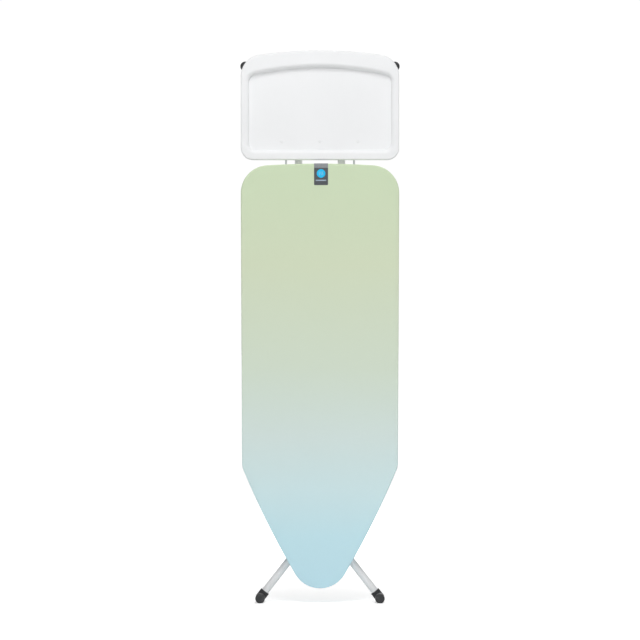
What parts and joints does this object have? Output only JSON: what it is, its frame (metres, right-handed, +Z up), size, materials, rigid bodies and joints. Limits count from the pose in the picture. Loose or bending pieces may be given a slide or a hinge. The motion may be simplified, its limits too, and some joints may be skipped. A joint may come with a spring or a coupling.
{
  "type": "ironing board",
  "caption": "Padded ironing board with a pointed nose, a moulded steam-unit tray at its square end and crossed tube legs, folded flat and standing on end.",
  "frame": {"origin": "on the floor, under the middle of the folded board that stands on its nose feet", "axes": "+Z up along the board from nose to tray, +X to the right of someone who faces the ironing surface, -Y out of the ironing surface"},
  "size_m": [0.465, 0.064, 1.6049],
  "materials": {
    "cover_cotton": "matte",
    "felt": "matte",
    "label_cloth": "matte",
    "label_blue": "matte",
    "mesh_steel": "satin",
    "white_steel": "satin",
    "zinc_steel": "satin",
    "white_plastic": "satin",
    "dark_rubber": "matte",
    "grey_plastic": "satin"
  },
  "bodies": {
    "root": {"bearing_screws": "zinc_steel", "bracket_bolts": "zinc_steel", "cotton_cover": "cover_cotton", "cross_member_middle": "white_steel", "cross_member_nose": "white_steel", "cross_member_rear": "white_steel", "cross_member_tail": "white_steel", "felt_pad": "felt", "label_disc": "label_blue", "label_tab": "label_cloth", "latch_bearing_middle": "grey_plastic", "latch_bearing_nose": "grey_plastic", "latch_bearing_tail": "grey_plastic", "latch_spring": "zinc_steel", "mesh_top": "mesh_steel", "pivot_bracket": "white_steel", "pivot_pin": "zinc_steel", "pivot_pin_caps": "zinc_steel", "rim_tube": "white_steel", "steam_tray": "white_plastic", "track_end_stops": "grey_plastic", "track_left": "white_steel", "track_right": "white_steel", "track_rivets": "zinc_steel", "tray_clips": "grey_plastic", "tray_screws": "white_steel", "tray_straps": "zinc_steel", "tray_wire": "zinc_steel"},
    "nose_legs": {"nose_leg_left": "white_steel", "nose_leg_right": "white_steel", "nose_leg_braces": "white_steel", "nose_foot_left": "dark_rubber", "nose_foot_right": "dark_rubber", "nose_leg_plugs": "grey_plastic", "cross_axle": "zinc_steel", "cross_axle_caps": "zinc_steel", "cross_spacers": "grey_plastic"},
    "tail_legs": {"tail_leg_left": "white_steel", "tail_leg_right": "white_steel", "tail_leg_brace": "white_steel", "tail_foot_left": "dark_rubber", "tail_foot_right": "dark_rubber", "tail_leg_plugs": "grey_plastic", "slide_pin_left": "zinc_steel", "slide_pin_right": "zinc_steel"},
    "slide_shoe_left": {"slide_shoe_left": "grey_plastic"},
    "slide_shoe_right": {"slide_shoe_right": "grey_plastic"},
    "latch": {"latch_bar": "zinc_steel", "release_grip": "grey_plastic"}
  },
  "joints": [
    {"name": "leg_fold", "type": "hinge", "parent": "root", "child": "nose_legs", "pos_m": [0, 0.018, 1.188], "axis": [1, 0, 0], "range_deg": [0, 51.3]},
    {"name": "leg_cross", "type": "hinge", "parent": "nose_legs", "child": "tail_legs", "pos_m": [0, 0.018, 0.788], "axis": [1, 0, 0], "range_deg": [-102.6, 0]},
    {"name": "shoe_tilt_left", "type": "hinge", "parent": "tail_legs", "child": "slide_shoe_left", "pos_m": [-0.085, 0.018, 0.388], "axis": [1, 0, 0], "range_deg": [0, 51.3]},
    {"name": "shoe_tilt_right", "type": "hinge", "parent": "tail_legs", "child": "slide_shoe_right", "pos_m": [0.085, 0.018, 0.388], "axis": [1, 0, 0], "range_deg": [0, 51.3]},
    {"name": "latch_turn", "type": "hinge", "parent": "root", "child": "latch", "pos_m": [0.118, 0.018, 1.2], "axis": [0, 0, -1], "range_deg": [-22, 6], "stiffness_Nm_per_rad": 1}
  ],
  "couplings": [
    {"joint": "leg_cross", "follows": "leg_fold", "ratio": -2},
    {"joint": "shoe_tilt_left", "follows": "leg_fold", "ratio": 1},
    {"joint": "shoe_tilt_right", "follows": "leg_fold", "ratio": 1}
  ]
}
